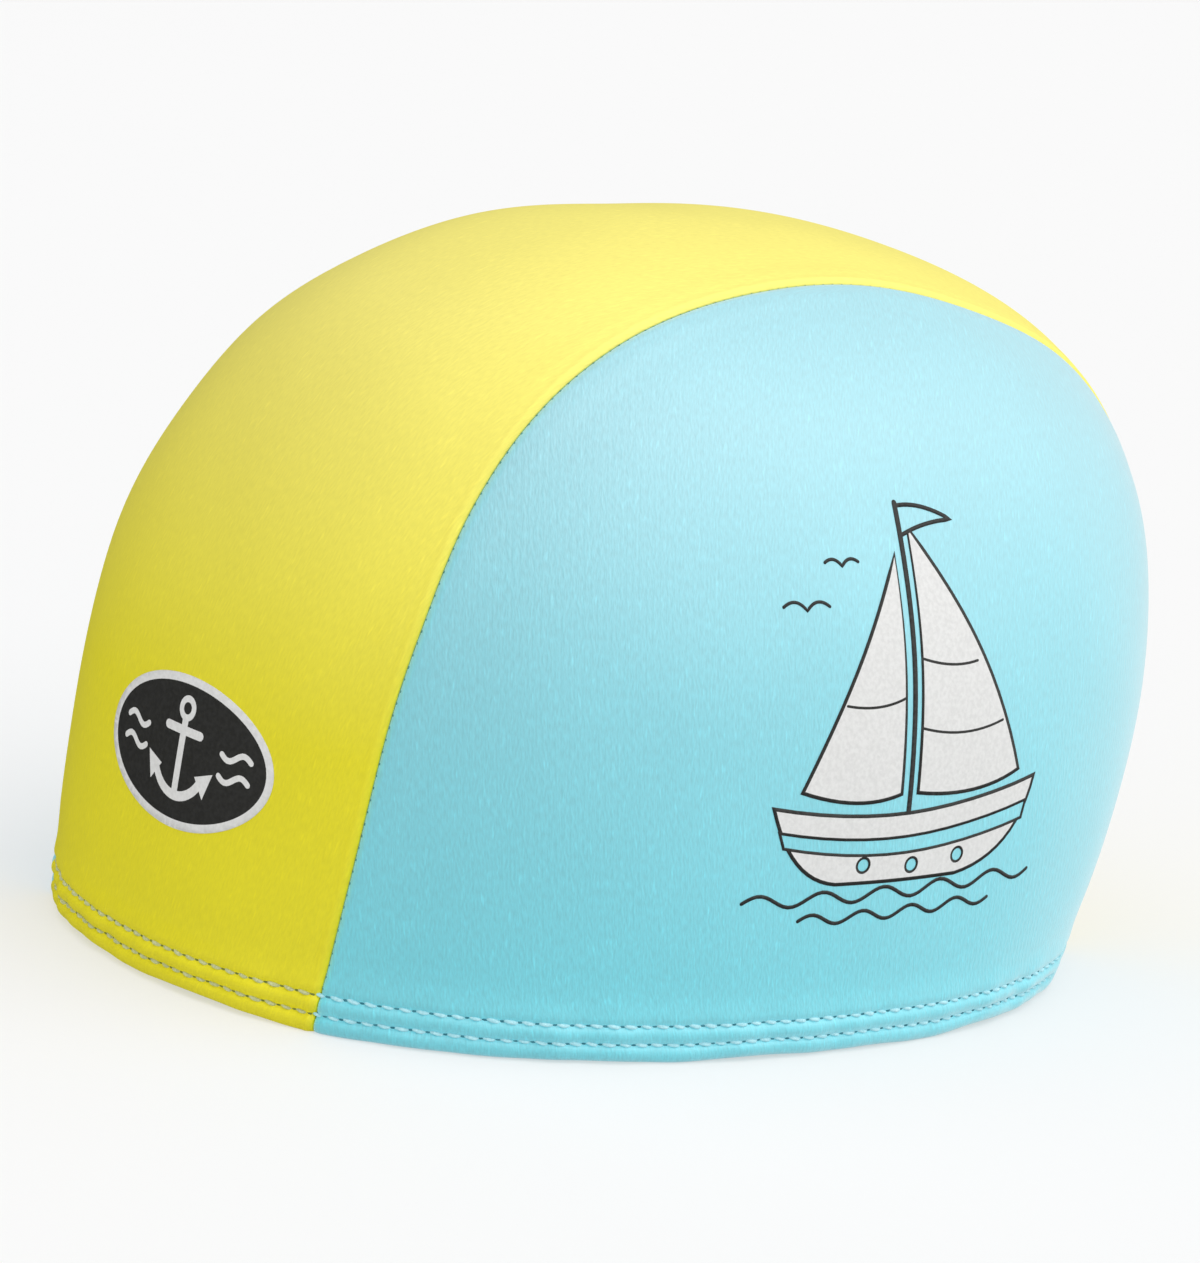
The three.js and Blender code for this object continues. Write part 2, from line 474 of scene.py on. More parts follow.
# Joins points that lie on one place, as at the end of a panel, and turns the faces out.
def finishMesh(mesh):
    body = bmesh.new()
    body.from_mesh(mesh)
    bmesh.ops.remove_doubles(body, verts=body.verts, dist=2e-6)
    bmesh.ops.dissolve_degenerate(body, dist=1e-7, edges=body.edges)
    bmesh.ops.recalc_face_normals(body, faces=body.faces)
    body.to_mesh(mesh)
    body.free()
    return newObject(mesh.name, mesh)


# Centre panel
def centrePanel():
    insets = np.array(cloth["edgeInsets"])
    across = int(2 * seams["halfWidth"] / cloth["columnSpacing"])
    middle = np.linspace(-1, 1, across)[1:-1]
    share = np.concatenate([-np.ones(len(insets)), middle, np.ones(len(insets))])
    fromEdge = insets + seams["gap"]
    inset = np.concatenate([fromEdge, -fromEdge[-1] * middle, -fromEdge[::-1]])
    heights = np.array(hem["rows"], float)[:, None]
    front = stripAtHeight(share[None], inset[None], heights, -1)
    back = stripAtHeight(share[None], inset[None], heights, 1)
    fromTurn, toTurn = front[2][-1], back[2][-1]
    middleTurns = np.linspace(fromTurn[across // 2], toTurn[across // 2], samples["spine"])
    spine = stripAtTurn(np.zeros(samples["spine"]), np.zeros(samples["spine"]), middleTurns)
    arc = arcAlong(spine, 0)
    count = int(arc[-1] / cloth["rowSpacing"])
    turns = np.interp(np.linspace(0, arc[-1], count), arc, middleTurns)
    part = (turns[1:-1] - turns[0]) / (turns[-1] - turns[0])
    turn = fromTurn[None] + part[:, None] * (toTurn - fromTurn)[None]
    over = stripAtTurn(np.broadcast_to(share, turn.shape), np.broadcast_to(inset, turn.shape), turn)
    rise = np.broadcast_to(heights, front[0].shape)
    frontRows = np.stack([front[0], front[1], rise], -1)
    backRows = np.stack([back[0], back[1], rise], -1)[::-1]
    points = np.concatenate([frontRows, over, backRows])
    fromLeft = arcAlong(points, 1)
    upwards = arcAlong(points, 0)
    lean = cloth["frontLean"] * cloth["frontLeanLength"] * np.tanh(upwards / cloth["frontLeanLength"])
    knit = np.stack([fromLeft - fromLeft[:, -1:] / 2 - lean, upwards], -1)
    return finishMesh(clothMesh("centre_cloth", points, knit, False, True))


# Side panel
def seamPath():
    turns = np.linspace(-20, 200, samples["seam"])
    return stripAtTurn(np.ones(turns.shape), np.full(turns.shape, seams["gap"]), turns)


def sidePanel(name, mirrored):
    seam = seamPath()
    top = int(np.argmax(seam[:, 2]))
    topHeight = seam[top, 2]
    low = hem["blendHeight"]
    frontArc, backArc = arcAlong(seam[: top + 1], 0), arcAlong(seam[top:][::-1], 0)
    fine = np.linspace(low, topHeight, samples["height"])
    frontAt = np.interp(fine, seam[: top + 1, 2], frontArc)
    backAt = np.interp(fine, seam[top:][::-1, 2], backArc)
    pace = (fine - low) + 0.5 * np.maximum(frontAt - frontAt[0], backAt - backAt[0])
    count = int(pace[-1] / cloth["sideRowSpacing"])
    above = np.interp(np.linspace(0, pace[-1], count), pace, fine)[1:]
    hemHeights = np.array(hem["rows"], float)
    heights = np.concatenate([hemHeights, above])
    one = np.ones(1)
    gap = np.full(1, seams["gap"])
    columns = cloth["sideColumns"]
    insets = np.array(cloth["edgeInsets"])
    rows = []
    for z in heights:
        if z >= topHeight - 1e-6:
            tip = seam[top]
            rows.append(np.repeat(tip[None], columns, 0))
            continue
        if z <= low:
            ends = [stripAtHeight(one, gap, np.full(1, z), side)[1][0] for side in (-1, 1)]
        else:
            ends = [
                np.interp(z, seam[: top + 1, 2], seam[: top + 1, 1]),
                np.interp(z, seam[top:][::-1, 2], seam[top:][::-1, 1]),
            ]
        swing = np.cos(np.linspace(0, math.pi, samples["row"]))
        spread = (ends[0] + ends[1]) / 2 - (ends[1] - ends[0]) / 2 * swing
        level = np.full(spread.shape, z)
        line = np.stack([halfWidthAt(spread, level), spread, level], -1)
        arc = arcAlong(line, 0)
        length = arc[-1]
        edge = insets * min(1, length / 40)
        inner = np.linspace(edge[-1], length - edge[-1], columns - 2 * len(insets) + 2)[1:-1]
        places = np.concatenate([edge, inner, length - edge[::-1]])
        y = np.interp(places, arc, spread)
        rows.append(np.stack([halfWidthAt(y, np.full(columns, z)), y, np.full(columns, z)], -1))
    points = np.stack(rows)
    arcs = arcAlong(points, 1)
    rowRise = arcAlong(points[:, columns // 2][:, None], 0)
    # The wales run beside an upright plane that crosses the panel's front half.
    facing = math.radians(cloth["walesFacing"])
    beside = points[..., 0] * math.cos(facing) + points[..., 1] * math.sin(facing)
    beside = beside + cloth["walesLean"] * points[..., 2]
    crossing = [np.interp(cloth["walesFrom"], line, arc) for line, arc in zip(beside, arcs)]
    upwards = np.broadcast_to(rowRise, arcs.shape)
    knit = np.stack([arcs - np.array(crossing)[:, None], upwards], -1)
    if mirrored:
        points = points * np.array([-1, 1, 1])
    return finishMesh(clothMesh(name, points, knit, mirrored, False))


# Materials

# Adds a node. An input is given as a value, or as the socket that it is linked to.
def newNode(tree, kind, inputs=None, **settings):
    node = tree.nodes.new(kind)
    for name, value in settings.items():
        setattr(node, name, value)
    for socket, value in (inputs or {}).items():
        if isinstance(value, bpy.types.NodeSocket):
            tree.links.new(value, node.inputs[socket])
        else:
            node.inputs[socket].default_value = value
    return node


def newMaterial(name, look):
    material = bpy.data.materials.new(name)
    material.use_nodes = True
    tree = material.node_tree
    tree.nodes.clear()
    shader = newNode(tree, "ShaderNodeBsdfPrincipled", {"Roughness": look["roughness"]})
    newNode(tree, "ShaderNodeOutputMaterial", {0: shader.outputs[0]})
    return material, tree, shader


def addBump(tree, shader, height, strength, distance):
    relief = {"Strength": strength, "Distance": distance, "Height": height}
    tree.links.new(newNode(tree, "ShaderNodeBump", relief).outputs[0], shader.inputs["Normal"])


knitPattern = {
    "dashAcross": 0.55,  # shares of the slubs' own frequency
    "dashAlong": 0.45,
    "dashShade": 1.6,  # a share of the slubs' own shade
    "mottleAcross": 55,
    "mottleAlong": 40,
    "mottleShade": 0.015,
    "waleStretch": 0.08,
    "waleDistortion": 0.6,
    "waleRelief": 0.15,  # the wales' part of the bump, beside the slubs'
}


# Fine stretch knit: wales along the panel, short slubs in them, and broad faint mottling.
def knitMaterial(name, look):
    material, tree, shader = newMaterial(name, look)
    uv = newNode(tree, "ShaderNodeUVMap", uv_map="knit").outputs["UV"]

    def mapped(across, along):
        return newNode(tree, "ShaderNodeMapping", {"Vector": uv, "Scale": (across, along, 1)}).outputs[0]

    def noise(across, along, detail):
        grain = {"Vector": mapped(across, along), "Scale": 1, "Detail": detail}
        return newNode(tree, "ShaderNodeTexNoise", grain).outputs["Fac"]

    def ramp(source, low, high, fromShade, toShade):
        limits = {"Value": source, "From Min": low, "From Max": high, "To Min": fromShade, "To Max": toShade}
        return newNode(tree, "ShaderNodeMapRange", limits).outputs["Result"]

    def maths(operation, first, second):
        return newNode(tree, "ShaderNodeMath", {0: first, 1: second}, operation=operation).outputs[0]

    pattern = knitPattern
    slubs = noise(look["slubAcross"], look["slubAlong"], 2)
    dashAcross = look["slubAcross"] * pattern["dashAcross"]
    dashes = noise(dashAcross, look["slubAlong"] * pattern["dashAlong"], 1)
    mottle = noise(pattern["mottleAcross"], pattern["mottleAlong"], 2)
    place = mapped(look["waleScale"], look["waleScale"] * pattern["waleStretch"])
    bands = {"Vector": place, "Scale": 1, "Distortion": pattern["waleDistortion"], "Detail": 1}
    wales = newNode(tree, "ShaderNodeTexWave", bands, wave_type="BANDS", bands_direction="X")
    strength, faint = look["slubShade"], pattern["mottleShade"]
    slubShade = ramp(slubs, 0.3, 0.7, 1 - strength, 1 + strength)
    mottleShade = ramp(mottle, 0.3, 0.7, 1 - faint, 1 + faint)
    dashShade = ramp(dashes, 0.62, 0.75, 1, 1 + pattern["dashShade"] * strength)
    shade = maths("MULTIPLY", maths("MULTIPLY", slubShade, mottleShade), dashShade)
    # Painted highlight: the colour turns paler and whiter towards the crown, standing in for the sheen of
    # the light from above.
    place = newNode(tree, "ShaderNodeTexCoord").outputs["Object"]
    height = newNode(tree, "ShaderNodeSeparateXYZ", {0: place}).outputs["Z"]
    stretch = ramp(height, look["paintedHighlightFrom"] / metre, look["paintedHighlightTo"] / metre, 0, 1)
    ends = {"Factor": stretch, 6: (*look["colour"], 1), 7: (*look["paintedCrownHighlight"], 1)}
    tint = newNode(tree, "ShaderNodeMix", ends, data_type="RGBA").outputs[2]
    grey = newNode(tree, "ShaderNodeCombineColor", {i: shade for i in range(3)}).outputs[0]
    colours = {"Factor": 1, 6: tint, 7: grey}
    colour = newNode(tree, "ShaderNodeMix", colours, data_type="RGBA", blend_type="MULTIPLY").outputs[2]
    tree.links.new(colour, shader.inputs["Base Color"])
    slubRelief = maths("MULTIPLY", slubs, 1 - pattern["waleRelief"])
    waleRelief = maths("MULTIPLY", wales.outputs["Fac"], pattern["waleRelief"])
    addBump(tree, shader, maths("ADD", slubRelief, waleRelief), look["bump"], 0.0002)
    shader.inputs["IOR"].default_value = look["refraction"]
    shader.inputs["Specular IOR Level"].default_value = look["specular"]
    shader.inputs["Specular Tint"].default_value = (*look["specularTint"], 1)
    shader.inputs["Sheen Weight"].default_value = look["sheen"]
    shader.inputs["Sheen Roughness"].default_value = look["sheenRoughness"]
    shader.inputs["Sheen Tint"].default_value = (*look["sheenTint"], 1)
    return material


# A material in two shades of a fine grain, for threads, the painted shade in needle holes, inks and the
# floor.
def plainMaterial(name, look):
    material, tree, shader = newMaterial(name, look)
    place = newNode(tree, "ShaderNodeTexCoord").outputs["Object"]
    grain = newNode(tree, "ShaderNodeTexNoise", {"Vector": place, "Scale": look["grain"], "Detail": 3})
    colours = newNode(tree, "ShaderNodeValToRGB", {0: grain.outputs["Fac"]})
    stops = ((0.35, look["dark"]), (0.65, look["light"]))
    for element, (position, shade) in zip(colours.color_ramp.elements, stops):
        element.color = (*shade, 1)
        element.position = position
    tree.links.new(colours.outputs[0], shader.inputs["Base Color"])
    addBump(tree, shader, grain.outputs["Fac"], look["bump"], 0.0001)
    shader.inputs["Specular IOR Level"].default_value = 0.3
    return material


# Stitches: a tree sets one shape at even steps along a path, whose points carry the way out
# of the cloth and whether they lie on the centre panel.
def scaled(tree, value, factor):
    return newNode(tree, "ShaderNodeMath", {0: value, 1: factor}, operation="MULTIPLY").outputs[0]


def tubeAlong(tree, curve, width):
    profile = {"Resolution": 6, "Radius": scaled(tree, width, 0.5)}
    ring = newNode(tree, "GeometryNodeCurvePrimitiveCircle", profile).outputs[0]
    sweep = {"Curve": curve, "Profile Curve": ring, "Fill Caps": True}
    return newNode(tree, "GeometryNodeCurveToMesh", sweep).outputs[0]


# A short thread, bent down into the cloth at both ends.
def threadShape(tree, length, width):
    bend = {"Resolution": 7}
    for socket, along, upward in (("Start", -0.5, -0.9), ("Middle", 0, 1), ("End", 0.5, -0.9)):
        place = {"X": scaled(tree, length, along), "Z": scaled(tree, width, upward)}
        bend[socket] = newNode(tree, "ShaderNodeCombineXYZ", place).outputs[0]
    return tubeAlong(tree, newNode(tree, "GeometryNodeCurveQuadraticBezier", bend).outputs[0], width)


# Painted shade in a needle hole: a flat dark oval that lies in the cloth.
def holeShadeShape(tree, length, width):
    ball = newNode(tree, "GeometryNodeMeshUVSphere", {"Segments": 10, "Rings": 5, "Radius": 0.5})
    sides = {"X": length, "Y": width, "Z": scaled(tree, width, 0.4)}
    size = newNode(tree, "ShaderNodeCombineXYZ", sides).outputs[0]
    flattened = {"Geometry": ball.outputs["Mesh"], "Scale": size}
    return newNode(tree, "GeometryNodeTransform", flattened).outputs[0]


# A tree that takes a path and named values, with the path made a curve.
def pathTree(name, sockets):
    tree = bpy.data.node_groups.new(name, "GeometryNodeTree")
    for socketName, kind in (("Path", "Geometry"), *sockets):
        tree.interface.new_socket(socketName, in_out="INPUT", socket_type="NodeSocket" + kind)
    tree.interface.new_socket("Result", in_out="OUTPUT", socket_type="NodeSocketGeometry")
    given = newNode(tree, "NodeGroupInput").outputs
    return tree, given, newNode(tree, "GeometryNodeMeshToCurve", {0: given["Path"]}).outputs[0]


def rowTree(name, addShape, seed):
    tree, given, curve = pathTree(name, (
        ("Count", "Int"), ("Length", "Float"), ("Width", "Float"), ("Slant", "Float"),
        ("Unevenness", "Float"), ("Side material", "Material"), ("Centre material", "Material"),
    ))

    def add(kind, inputs=None, output=0, **settings):
        return newNode(tree, kind, inputs, **settings).outputs[output]

    def attribute(attributeName, kind):
        return add("GeometryNodeInputNamedAttribute", {"Name": attributeName}, "Attribute", data_type=kind)

    def randomFrom(low, high, number):
        return add("FunctionNodeRandomValue", {2: low, 3: high, "Seed": number}, 1, data_type="FLOAT")

    align = "FunctionNodeAlignRotationToVector"
    alongPath = add(align, {"Vector": add("GeometryNodeInputTangent")}, axis="X")
    facing = {"Rotation": alongPath, "Vector": attribute("outward", "FLOAT_VECTOR")}
    facingOut = add(align, facing, axis="Z", pivot_axis="X")
    wobble = {0: randomFrom(-1, 1, seed), 1: given["Unevenness"], 2: given["Slant"]}
    angle = add("ShaderNodeMath", wobble, operation="MULTIPLY_ADD")
    spin = add("FunctionNodeAxisAngleToRotation", {"Axis": (0, 0, 1), "Angle": angle})
    turned = {"Rotation": facingOut, "Rotate By": spin}
    placed = add("GeometryNodeInstanceOnPoints", {
        "Points": add("GeometryNodeResampleCurve", {"Curve": curve, "Count": given["Count"]}),
        "Instance": addShape(tree, given["Length"], given["Width"]),
        "Rotation": add("FunctionNodeRotateRotation", turned, rotation_space="LOCAL"),
        "Scale": randomFrom(0.86, 1.12, seed + 1),
    })
    real = add("GeometryNodeRealizeInstances", {"Geometry": placed})
    smooth = add("GeometryNodeSetShadeSmooth", {"Geometry": real})
    sides = {"Geometry": smooth, "Material": given["Side material"]}
    onCentre = {0: attribute("onCentre", "FLOAT"), 1: 0.5}
    centre = {
        "Geometry": add("GeometryNodeSetMaterial", sides),
        "Selection": add("FunctionNodeCompare", onCentre, data_type="FLOAT", operation="GREATER_THAN"),
        "Material": given["Centre material"],
    }
    newNode(tree, "NodeGroupOutput", {0: add("GeometryNodeSetMaterial", centre)})
    return tree


# One thread that lies along the whole path.
def lineTree():
    tree, given, curve = pathTree("threadAlong", (("Width", "Float"), ("Material", "Material")))
    tube = {"Geometry": tubeAlong(tree, curve, given["Width"])}
    real = newNode(tree, "GeometryNodeRealizeInstances", tube).outputs[0]
    look = {"Geometry": real, "Material": given["Material"]}
    newNode(tree, "NodeGroupOutput", {0: newNode(tree, "GeometryNodeSetMaterial", look).outputs[0]})
    return tree


# Lines through points on the cloth, each one closed or open, for a tree to follow.
def pathObject(name, lines):
    places, outwards, centres, edges = [], [], [], []
    for line in lines:
        first = len(places)
        count = len(line["places"])
        places += (line["places"] / metre).tolist()
        outwards += line["outward"].tolist()
        centres += line["onCentre"].astype(float).tolist()
        edges += [(first + i, first + i + 1) for i in range(count - 1)]
        if line["closed"]:
            edges.append((first + count - 1, first))
    mesh = bpy.data.meshes.new(name)
    mesh.from_pydata(places, edges, [])
    mesh.attributes.new("outward", "FLOAT_VECTOR", "POINT").data.foreach_set("vector", np.ravel(outwards))
    mesh.attributes.new("onCentre", "FLOAT", "POINT").data.foreach_set("value", centres)
    return newObject(name, mesh)


def runTree(piece, tree, values):
    modifier = piece.modifiers.new("row", "NODES")
    modifier.node_group = tree
    for item in tree.interface.items_tree:
        if item.in_out == "INPUT" and item.name in values:
            modifier[item.identifier] = values[item.name]
    return bakeModifiers(piece)


def hemLine(height, phase, sink):
    arcs = (np.arange(4 * stitchCount) / 4 + phase) * stitchStep
    turns = np.interp(arcs % rimRound, rimArcs, rimTurns)
    points = ringPoint(turns, height)
    return {"places": outside(points, sink), "outward": wayOut(points),
            "onCentre": seamDistance(points) < 0, "closed": True}


# A line along a seam, just inside the side panel's edge of the groove.
def seamLine(side, beside, lift):
    turns = np.linspace(-17, 197, samples["line"])
    on = np.ones(turns.shape)
    points = stripAtTurn(on, beside * on, turns)
    points = points[points[:, 2] > hem["turnUp"] - 0.6]
    points = points * np.array([side, 1, 1])
    return {"places": outside(points, lift), "outward": wayOut(points),
            "onCentre": np.zeros(len(points)), "closed": False}


hemStitches = {
    "threadLength": 2.15,
    "threadWidth": 0.7,
    "threadLift": 0.17,
    "slant": -0.17,
    "unevenness": 0.09,
    "holeShadeLength": 0.95,
    "holeShadeWidth": 0.64,
    "holeShadeLift": 0.0,
    "holeShadeUnevenness": 0.3,
    "threadOnBlue": {
        "grain": 2500, "bump": 0.6, "roughness": 0.6,
        "dark": (0.36, 0.7, 0.78), "light": (0.5, 0.82, 0.88),
    },
    "threadOnYellow": {
        "grain": 2500, "bump": 0.6, "roughness": 0.6,
        "dark": (0.46, 0.5, 0.24), "light": (0.6, 0.63, 0.36),
    },
    # The hole looks are dark copies of the cloth's colours: painted shade in the needle holes.
    "holeShadeOnBlue": {
        "grain": 900, "bump": 0.2, "roughness": 0.9,
        "dark": (0.03, 0.17, 0.22), "light": (0.07, 0.26, 0.32),
    },
    "holeShadeOnYellow": {
        "grain": 900, "bump": 0.2, "roughness": 0.9,
        "dark": (0.13, 0.17, 0.04), "light": (0.22, 0.26, 0.06),
    },
}
seamStitches = {
    "lineWidth": 0.3,
    "lineSink": -0.06,
    "line": {
        "grain": 1500, "bump": 0.3, "roughness": 0.8,
        "dark": (0.09, 0.3, 0.2), "light": (0.16, 0.42, 0.27),
    },
    "pitch": 2.0,
    "length": 0.5,
    "width": 0.26,
    "beside": 0.16,
    "lift": 0.0,
    "slant": 0.5,
    "unevenness": 0.25,
    # Dark ovals beside the seam, one at each stitch, are painted shade in its needle holes.
    "shade": {
        "grain": 900, "bump": 0.2, "roughness": 0.9,
        "dark": (0.05, 0.2, 0.2), "light": (0.1, 0.3, 0.3),
    },
}


def sewHem():
    threads = [hemLine(height, 0.5, hemStitches["threadLift"]) for height in hem["stitchHeights"]]
    # Dark ovals at the needle holes are painted shade.
    holeShadeLines = [hemLine(height, 0, hemStitches["holeShadeLift"]) for height in hem["stitchHeights"]]
    shapes = [
        ("hem_threads", threads, threadShape, "thread", hemStitches["slant"], hemStitches["unevenness"]),
        ("hem_needle_hole_shade", holeShadeLines, holeShadeShape, "holeShade", 0.0, hemStitches["holeShadeUnevenness"]),
    ]
    for name, lines, shape, kind, slant, unevenness in shapes:
        values = {
            "Count": stitchCount,
            "Length": hemStitches[kind + "Length"] / metre,
            "Width": hemStitches[kind + "Width"] / metre,
            "Slant": slant,
            "Unevenness": unevenness,
            "Side material": plainMaterial(kind + "OnBlue", hemStitches[kind + "OnBlue"]),
            "Centre material": plainMaterial(kind + "OnYellow", hemStitches[kind + "OnYellow"]),
        }
        piece = runTree(pathObject(name, lines), rowTree(kind + "Row", shape, 3), values)
        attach(piece, "root")


def sewSeams():
    lines = [seamLine(side, 0.02, seamStitches["lineSink"]) for side in (-1, 1)]
    values = {"Width": seamStitches["lineWidth"] / metre,
              "Material": plainMaterial("seamLineThread", seamStitches["line"])}
    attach(runTree(pathObject("seam_threads", lines), lineTree(), values), "root")
    # The dark ovals along the seams are painted shade in the needle holes.
    lines = [seamLine(side, seamStitches["beside"], seamStitches["lift"]) for side in (-1, 1)]
    length = np.linalg.norm(np.diff(lines[0]["places"], axis=0), axis=-1).sum()
    shade = plainMaterial("seamHoleShade", seamStitches["shade"])
    values = {
        "Count": round(length / seamStitches["pitch"]),
        "Length": seamStitches["length"] / metre,
        "Width": seamStitches["width"] / metre,
        "Slant": seamStitches["slant"],
        "Unevenness": seamStitches["unevenness"],
        "Side material": shade,
        "Centre material": shade,
    }
    piece = runTree(pathObject("seam_stitch_shade", lines), rowTree("seamRow", holeShadeShape, 9), values)
    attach(piece, "root")


# Prints, as thin films on the cloth. A drawing is a list of loops in millimetres, painted in
# turn, each with its ink, and an ink of None leaves the cloth bare.
def drawnLine(start, *stretches):
    points = [np.array(start, float)]
    for stretch in stretches:
        if len(stretch) == 1:
            points.append(np.array(stretch[0], float))
            continue
        control, end = (np.array(p, float) for p in stretch)
        begin = points[-1]
        for t in np.linspace(0, 1, 13)[1:]:
            points.append((1 - t) ** 2 * begin + 2 * t * (1 - t) * control + t**2 * end)
    return np.array(points)


def oval(centre, halfWide, halfHigh, count=48):
    turns = np.linspace(0, 2 * math.pi, count, endpoint=False)
    return np.stack([centre[0] + halfWide * np.cos(turns), centre[1] + halfHigh * np.sin(turns)], -1)


# The same loop with no step longer than the cloth is divided, so that a film can't cut into it.
def fineLoop(loop, longest=0.9):
    after = np.roll(loop, -1, axis=0)
    points = []
    for start, end in zip(loop, after):
        steps = max(1, math.ceil(np.linalg.norm(end - start) / longest))
        points += [start + (end - start) * i / steps for i in range(steps)]
    return np.array(points)


# A closed loop moved out by a distance, or in where it is negative. Loops run anticlockwise.
def movedLoop(loop, distance):
    keep = np.linalg.norm(loop - np.roll(loop, 1, axis=0), axis=1) > 1e-6
    loop = loop[keep]
    area = np.sum(loop[:, 0] * np.roll(loop[:, 1], -1) - loop[:, 1] * np.roll(loop[:, 0], -1))
    if area < 0:
        loop = loop[::-1]
    before, after = unit(loop - np.roll(loop, 1, axis=0)), unit(np.roll(loop, -1, axis=0) - loop)
    normals = [np.stack([side[:, 1], -side[:, 0]], -1) for side in (before, after)]
    both = normals[0] + normals[1]
    stretch = 2 / np.maximum((both**2).sum(-1), 0.7)
    return loop + both * (stretch * distance)[:, None]


# A pen stroke along an open line, with round ends.
def penStroke(line, width):
    along = unit(np.gradient(line, axis=0))
    across = np.stack([-along[:, 1], along[:, 0]], -1) * width / 2
    turns = np.linspace(-math.pi / 2, math.pi / 2, 6)[1:-1, None]
    far = line[-1] + np.cos(turns) * along[-1] * width / 2 + np.sin(turns) * across[-1]
    near = line[0] - np.cos(turns) * along[0] * width / 2 - np.sin(turns) * across[0]
    return np.concatenate([line - across, far, (line + across)[::-1], near])


def outlined(loop, pen, ink):
    return [(movedLoop(loop, pen / 2), "dark"), (movedLoop(loop, -pen / 2), ink)]


def wave(start, end, height, count, pen):
    places = np.linspace(0, 1, 14 * count)
    x = start[0] + (end[0] - start[0]) * places
    y = start[1] + (end[1] - start[1]) * places + height * np.sin(2 * math.pi * count * places)
    return penStroke(np.stack([x, y], -1), pen)


badge = {
    "centre": (7.5, 38.3),
    "halfWide": 20.5,
    "halfHigh": 12.4,
    "border": 1.4,
    "lift": 0.06,
}
boat = {
    "centre": (6, 56),
    "pen": 0.62,
    "lift": 0.06,
}


def badgeDrawing():
    wide, high = badge["halfWide"], badge["halfHigh"]
    border = badge["border"]
    arms = np.radians(np.linspace(205, 335, 21))
    arc = np.stack([6.6 * np.cos(arms), 6.6 * np.sin(arms) - 0.6], -1)
    fluke = np.array([(-8.4, -1.6), (-4.4, -3), (-6.9, -6.2)])
    loops = [
        (oval((0, 0), wide, high, 96), "pale"),
        (oval((0, 0), wide - border, high - border, 96), "dark"),
        (oval((0, 7.2), 2.1, 2.1, 28), "pale"),
        (oval((0, 7.2), 1, 1, 20), "dark"),
        (penStroke(np.array([(0, 5.4), (0, 2.7), (0, 0), (0, -3.5), (0, -7.2)]), 1.5), "pale"),
        (penStroke(np.array([(-4.2, 3.6), (0, 3.6), (4.2, 3.6)]), 1.5), "pale"),
        (penStroke(arc, 1.6), "pale"),
        (fluke, "pale"),
        (fluke * np.array([-1, 1]), "pale"),
    ]
    for side in (-1, 1):
        for height in (2.2, -1.4):
            loops.append((wave((side * 15.8, height), (side * 9.6, height), 0.75, 1, 1), "pale"))
    return loops


def boatDrawing():
    pen = boat["pen"]
    hull = drawnLine((-26, -13), ((0, -17.5), (28, -11)), ((25, -24), (12, -26)), ((-13, -26),),
                     ((-22, -25), (-26, -13)))
    mainSail = drawnLine((1.6, -11.5), ((15, -13.5), (24, -9.5)), ((17, 10), (1.6, 30)))
    headSail = drawnLine((-1.8, 26), ((-13, 6), (-21, -10.5)), ((-10, -14), (-1.8, -11.5)))
    pennant = drawnLine((0, 33), ((5, 33.6), (11, 30.6)), ((5, 30.6), (0, 28.6)))
    band = drawnLine((-24.6, -17), ((0, -21.3), (26.6, -15)), ((26, -18),), ((0, -24), (-23.6, -19.6)))
    loops = outlined(hull, pen, "pale") + outlined(band, pen * 0.8, None)
    loops += outlined(mainSail, pen, "pale") + outlined(headSail, pen, "pale")
    loops += outlined(pennant, pen, None)
    loops.append((penStroke(np.array([(0, -14.6), (0, 0), (0, 16), (0, 33.4)]), 0.95), "dark"))
    for start, control, end in (((1.6, 10), (8, 8), (13.6, 9)), ((1.6, -1), (11, -3.5), (19.6, -1))):
        loops.append((penStroke(drawnLine(start, (control, end)), pen * 0.7), "dark"))
    loops.append((penStroke(drawnLine((-1.8, 4), ((-7, 2), (-13.3, 3.2))), pen * 0.7), "dark"))
    for x, y in ((-8, -23), (2, -23.6), (12, -22.8)):
        loops += outlined(oval((x, y), 1.25, 1.25, 20), pen * 0.7, None)
    loops.append((wave((-30, -28.6), (30, -27.4), 1.1, 5, pen), "dark"))
    loops.append((wave((-19, -32), (21, -31.2), 0.9, 4, pen), "dark"))
    for x, y, size in ((-20, 18, 4.2), (-12.5, 24.5, 3.2)):
        bird = drawnLine((x - size, y + 0.6), ((x - size * 0.45, y + size * 0.55), (x, y)),
                         ((x + size * 0.45, y + size * 0.55), (x + size, y + 0.6)))
        loops.append((penStroke(bird, pen * 0.8), "dark"))
    return loops


